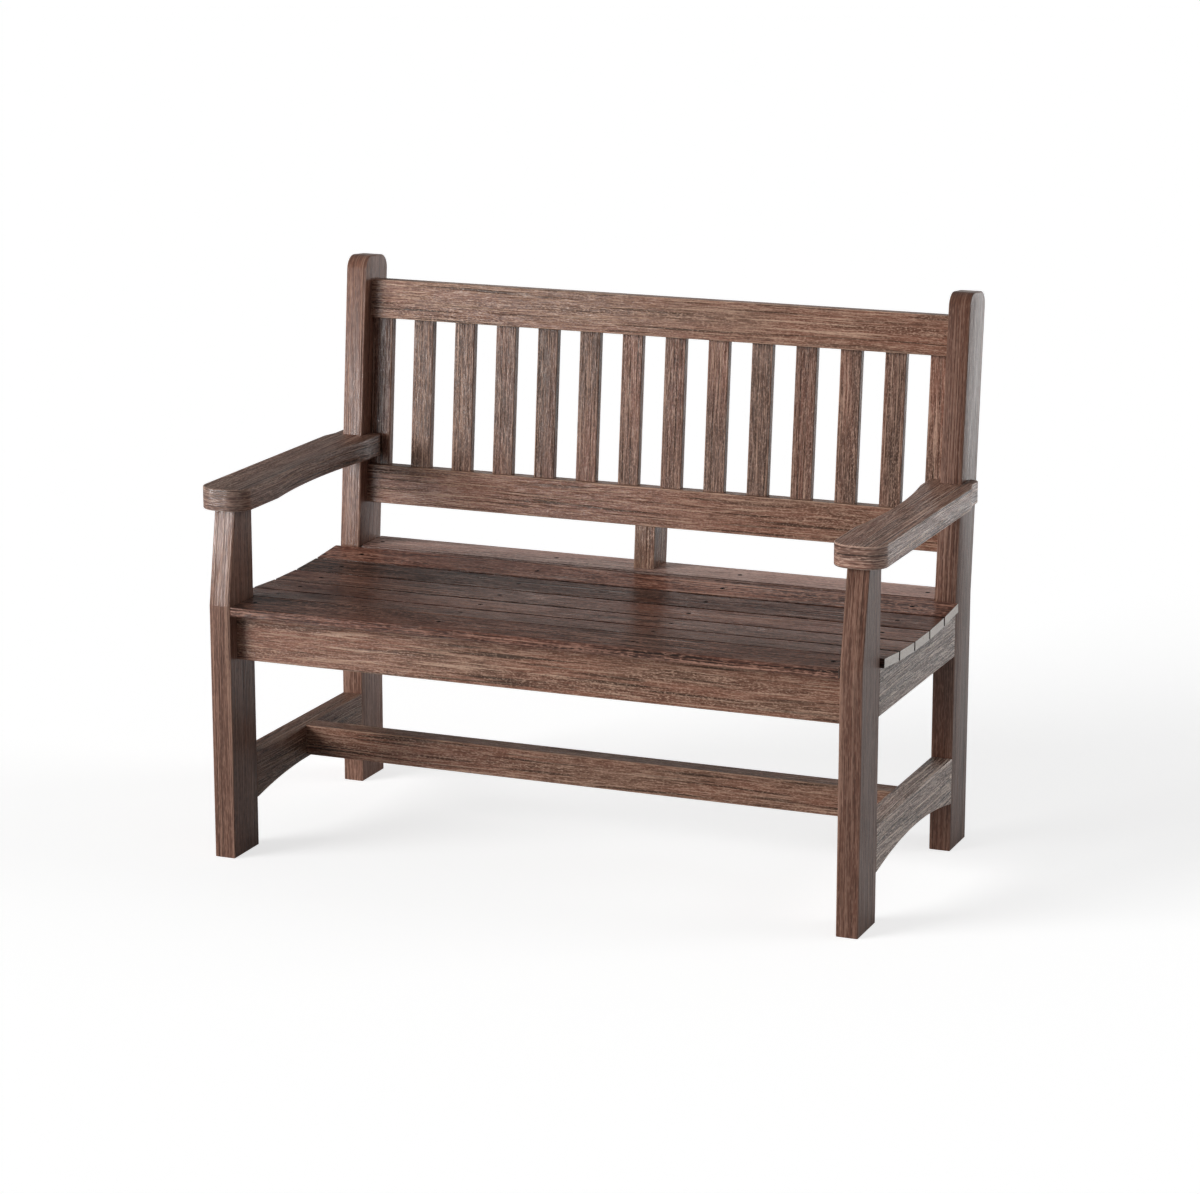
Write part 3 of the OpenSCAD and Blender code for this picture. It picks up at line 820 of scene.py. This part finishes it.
def back_slat(i):
    left_x = -INNER_HALF + (i - 1) * BACK_PITCH
    length = TOP_RAIL_Z - LOWER_RAIL_TOP
    origin = on_back(left_x, LOWER_RAIL_TOP + length / 2, SLAT_INSET + BACK_SLAT_T / 2)
    place = board_frame(origin, LEAN_UP, X, LEAN_BACK)
    outline = rectangle(length, BACK_SLAT_W)
    board(f"back_slat_{i}", outline, BACK_SLAT_T, place, BACK_PLASTIC)


def seat_slat(i):
    tilt, width = slat_tilt(i), slat_width(i)
    across = Vector((0, math.cos(tilt), math.sin(tilt)))
    out = Vector((0, -math.sin(tilt), math.cos(tilt)))
    top = SEAT_SLAT_T / 2
    origin = Vector((0, slat_y(i), slat_z(i))) - across * width / 2 - out * top
    holes = [Matrix.Translation((x, width / 2 + screw_y(i), top)) for x in BEARER_LINES]
    if i == SEAT_SLATS:
        foot_screw = (REAR_Y + RAIL_INSET + BOARD_T + FRAME_D) / 2 - slat_y(i) + width / 2
        upside_down = Matrix.Rotation(math.pi, 4, "X")
        holes.append(Matrix.Translation((0, foot_screw, -top)) @ upside_down)
    # All slats but the front one have their edges darkened as painted shade of the gaps between
    # them
    board(
        f"seat_slat_{i}", rectangle(slat_length(i), width), SEAT_SLAT_T,
        board_frame(origin, X, across, out),
        REAR_SLAT_LIT_PLASTIC if i == SEAT_SLATS else SEAT_PLASTIC,
        holes=holes, easing=SEAT_EASE, edge_painted_shade=0.0 if i == 1 else GAP_PAINTED_SHADE,
        grain=lambda point: (point.x, point.y * SEAT_GRAIN, point.z),
    )


# Boards along the depth: along = depth behind the legs' front, across = height


def side_board(name, x, outline, plastic=SIDE_SHEEN_PLASTIC):
    place = board_frame((x, 0, 0), Y, Z, X)
    board(name, outline, BOARD_T, place, plastic)


def side_rail_outline():
    return (
        [(REAR_Y, RAIL_Z), (LEG_D, RAIL_Z), under_line(2, LEG_D)]
        + slat_seats()
        + [under_line(SEAT_SLATS - 1, REAR_Y)]
    )


def bearer_outline():
    front, back = RAIL_INSET + BOARD_T, REAR_Y + RAIL_INSET
    return (
        [(back, RAIL_Z), (front, RAIL_Z), (front, BOTTOM_OF_SEAT), (LEG_D, BOTTOM_OF_SEAT)]
        + slat_seats()
        + [(REAR_Y + REAR_SLAT_INSET, BOTTOM_OF_SEAT), (back, BOTTOM_OF_SEAT)]
    )


def stretcher_outline():
    bottom = STRETCHER_TOP - SIDE_STRETCHER_H
    chord = INNER_D - 2 * ARCH_END
    r = arc_radius(chord, ARCH_RISE)
    half_angle = math.degrees(math.asin(chord / 2 / r))
    centre = (FRAME_D / 2, bottom + ARCH_RISE - r)
    arch = arc(centre, r, 90 + half_angle, 90 - half_angle, ARCH_STEPS)
    ends = [(REAR_Y, STRETCHER_TOP), (LEG_D, STRETCHER_TOP), (LEG_D, bottom)]
    return ends + arch + [(REAR_Y, bottom)]


def centre_post():
    """Short post between the seat and the lower back rail, with a tongue up the rail's back."""
    front, back, tongue = BACK_INSET, LEG_D, BACK_INSET + BOARD_T
    outline = [
        (front * math.tan(LEAN), front),
        (back * math.tan(LEAN), back),
        (LOWER_RAIL_RISE + TONGUE_H, back),
        (LOWER_RAIL_RISE + TONGUE_H, tongue),
        (LOWER_RAIL_RISE, tongue),
        (LOWER_RAIL_RISE, front),
    ]
    backwards = Matrix.Rotation(-math.pi / 2, 4, "X")
    holes = [
        Matrix.Translation((LOWER_RAIL_RISE + share * TONGUE_H, back, 0)) @ backwards
        for share in TONGUE_SCREWS
    ]
    place = board_frame((0, REAR_Y, SEAT_H), LEAN_UP, LEAN_BACK, X)
    board(
        "back_centre_post", outline, BOARD_T, place, RAIL_PLASTIC, holes=holes,
        hole_depth=POST_HOLE_DEPTH,
    )


for word, side in (("left", -1), ("right", 1)):
    front_leg(f"front_leg_{word}", side)
    rear_leg(f"rear_leg_{word}", side)
    arm(f"arm_{word}", side)
    board_x = side_x(side, BOARD_T / 2)
    side_board(f"side_seat_rail_{word}", board_x, side_rail_outline())
    # The left stretcher stands in the shade, so it takes the rails' browner plastic as painted
    # shade, where the right one takes the lighter side plastic as painted sheen
    plastic = SIDE_SHEEN_PLASTIC if side > 0 else RAIL_PLASTIC
    side_board(f"side_stretcher_{word}", board_x, stretcher_outline(), plastic)

rail("front_seat_rail", SEAT_RAIL_H, RAIL_Z, RAIL_INSET)
rail("rear_seat_rail", SEAT_RAIL_H, RAIL_Z, REAR_Y + RAIL_INSET)
LONG_STRETCHER_Z = STRETCHER_TOP - LONG_STRETCHER_H
rail("long_stretcher", LONG_STRETCHER_H, LONG_STRETCHER_Z, (FRAME_D - BOARD_T) / 2)
for word, x in zip(("end_left", "mid_left", "mid_right", "end_right"), BEARER_LINES):
    side_board(f"seat_bearer_{word}", x, bearer_outline())
for i in range(1, SEAT_SLATS + 1):
    seat_slat(i)
back_rail("back_top_rail", TOP_RAIL_Z)
back_rail("back_lower_rail", LOWER_RAIL_RISE)
centre_post()
for i in range(1, BACK_SLATS + 1):
    back_slat(i)

for node in ("seat_screws", "centre_post_screws"):
    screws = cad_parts[node]
    screws.data.materials.clear()
    screws.data.materials.append(SCREW_STEEL)

# Stage: a pale floor and a white background

FLOOR_SIZE = 80.0
FLOOR_COLOUR = (0.55, 0.55, 0.55, 1.0)
WHITE = (1.0, 1.0, 1.0, 1.0)
FLOOR_GLOW = 0.71
FLOOR_SHEEN = 0.50
SHADED_SHEEN = 0.12
AMBIENT = 0.175
# Where the painted shade under the bench, in the floor's glow seen in the sheen, begins to clear
# and is gone, in metres from its middle
SHADE_X = (0.5, 0.75)
SHADE_Y = (0.6, 1.2)


def by_ray(s, direct, glossy, other):
    """A level by the kind of ray: direct is for camera and transmission rays."""
    path = s.add("ShaderNodeLightPath")
    seen = s.math("MAXIMUM", path.outputs["Is Camera Ray"], path.outputs["Is Transmission Ray"])
    level = s.math("MULTIPLY_ADD", seen, direct - other, other)
    return s.math("MULTIPLY_ADD", path.outputs["Is Glossy Ray"], glossy - other, level)


def pale_floor():
    """White to the camera but for shadows; in the sheen of the boards it glows, darkened under
    them as painted shade.
    """
    reach = FLOOR_SIZE / 2
    corners = [(-reach, -reach, 0), (reach, -reach, 0), (reach, reach, 0), (-reach, reach, 0)]
    mesh = bpy.data.meshes.new("floor")
    mesh.from_pydata(corners, [], [(0, 1, 2, 3)])
    material = bpy.data.materials.new("pale_floor")
    s = Shader(material)
    diffuse = s.add("ShaderNodeBsdfDiffuse", {"Color": FLOOR_COLOUR})
    position = s.add("ShaderNodeNewGeometry").outputs["Position"]
    where = s.add("ShaderNodeSeparateXYZ", {0: position})
    beside = s.ramp(s.math("ABSOLUTE", where.outputs["X"]), *SHADE_X)
    beyond = s.ramp(s.math("ABSOLUTE", where.outputs["Y"]), *SHADE_Y)
    sheen = s.ramp(s.math("MAXIMUM", beside, beyond), 0.0, 1.0, SHADED_SHEEN, FLOOR_SHEEN)
    reflected = s.math("MULTIPLY", by_ray(s, 0.0, 1.0, 0.0), sheen)
    level = s.math("ADD", by_ray(s, FLOOR_GLOW, 0.0, 0.0), reflected)
    glow = s.add("ShaderNodeEmission", {"Strength": level})
    s.surface(s.add("ShaderNodeAddShader", {0: diffuse.outputs[0], 1: glow.outputs[0]}))
    mesh.materials.append(material)
    floor = add_object("floor", mesh)


def white_surroundings():
    world = bpy.data.worlds.new("surroundings")
    bpy.context.scene.world = world
    s = Shader(world)
    level = by_ray(s, 1.0, AMBIENT, AMBIENT)
    sky = s.add("ShaderNodeBackground", {"Color": WHITE, "Strength": level})
    s.add("ShaderNodeOutputWorld", {"Surface": sky.outputs[0]})


pale_floor()
white_surroundings()

# Light: a soft key from the front left, a weaker one from the rear right, and cards for the sheen

LAMP_DISTANCE = 5


def soft_light(name, azimuth, elevation, spread, level):
    """A broad distant lamp that leaves the sheen to the cards.

    azimuth is measured from the front, positive to the left as seen from there, and level is the
    brightness that the lamp gives to a white surface square to it.
    """
    a, e = math.radians(azimuth), math.radians(elevation)
    out = Vector((-math.sin(a) * math.cos(e), -math.cos(a) * math.cos(e), math.sin(e)))
    data = bpy.data.lights.new(name, "SUN")
    data.angle = math.radians(spread)
    data.energy = level * math.pi
    lamp = add_object(name, data)
    lamp.location = out * LAMP_DISTANCE
    lamp.visible_glossy = False
    lamp.rotation_euler = out.to_track_quat("Z", "Y").to_euler()


def gloss_card(name, place, aim, width, height, power, spread=180.0, colour=WHITE[:3]):
    """A bright panel that is only seen in the sheen of the boards."""
    data = bpy.data.lights.new(name, "AREA")
    data.shape = "RECTANGLE"
    data.size = width
    data.size_y = height
    data.energy = power
    data.spread = math.radians(spread)
    data.color = colour
    card = add_object(name, data)
    card.location = place
    card.rotation_euler = (Vector(place) - Vector(aim)).to_track_quat("Z", "Y").to_euler()
    card.visible_camera = False
    card.visible_diffuse = False


soft_light("key", azimuth=46, elevation=16, spread=34, level=1.0)
soft_light("rear_right", azimuth=-112, elevation=28, spread=30, level=0.17)

# The front card shows on the slope of the left leg, the left post and the left of the back
gloss_card(
    "front_card", place=(-1.55, -2.02, 0.86), aim=(-0.56, 0.1, 0.75), width=0.9, height=0.5,
    power=3, spread=36,
)
# The rear card shows on the tops, where the back doesn't hide it
gloss_card(
    "rear_card", place=(-0.3, 4.2, 1.12), aim=(0.0, 0.2, 0.5), width=3.8, height=0.8,
    power=7.5, colour=(1.0, 0.93, 0.89),
)
# The side card shows on the faces that look right
gloss_card(
    "side_card", place=(1.5, 3.4, 0.02), aim=(0.6, 0.0, 0.62), width=0.9, height=2.2, power=22,
)

# Camera, solved from the photo's straight edges

CAMERA_PLACE = (2.33382, -5.70239, 1.94272)
CAMERA_AZIMUTH = 22.228
CAMERA_PITCH = 13.706
CAMERA_LENS = 111.308
SENSOR_WIDTH = 36.0

camera_data = bpy.data.cameras.new("camera")
camera_data.lens = CAMERA_LENS
camera_data.sensor_width = SENSOR_WIDTH
camera = add_object("camera", camera_data)
camera.location = CAMERA_PLACE
camera.rotation_euler = (math.radians(90 - CAMERA_PITCH), 0, math.radians(CAMERA_AZIMUTH))
bpy.context.scene.camera = camera
bpy.context.scene.view_settings.view_transform = "Standard"
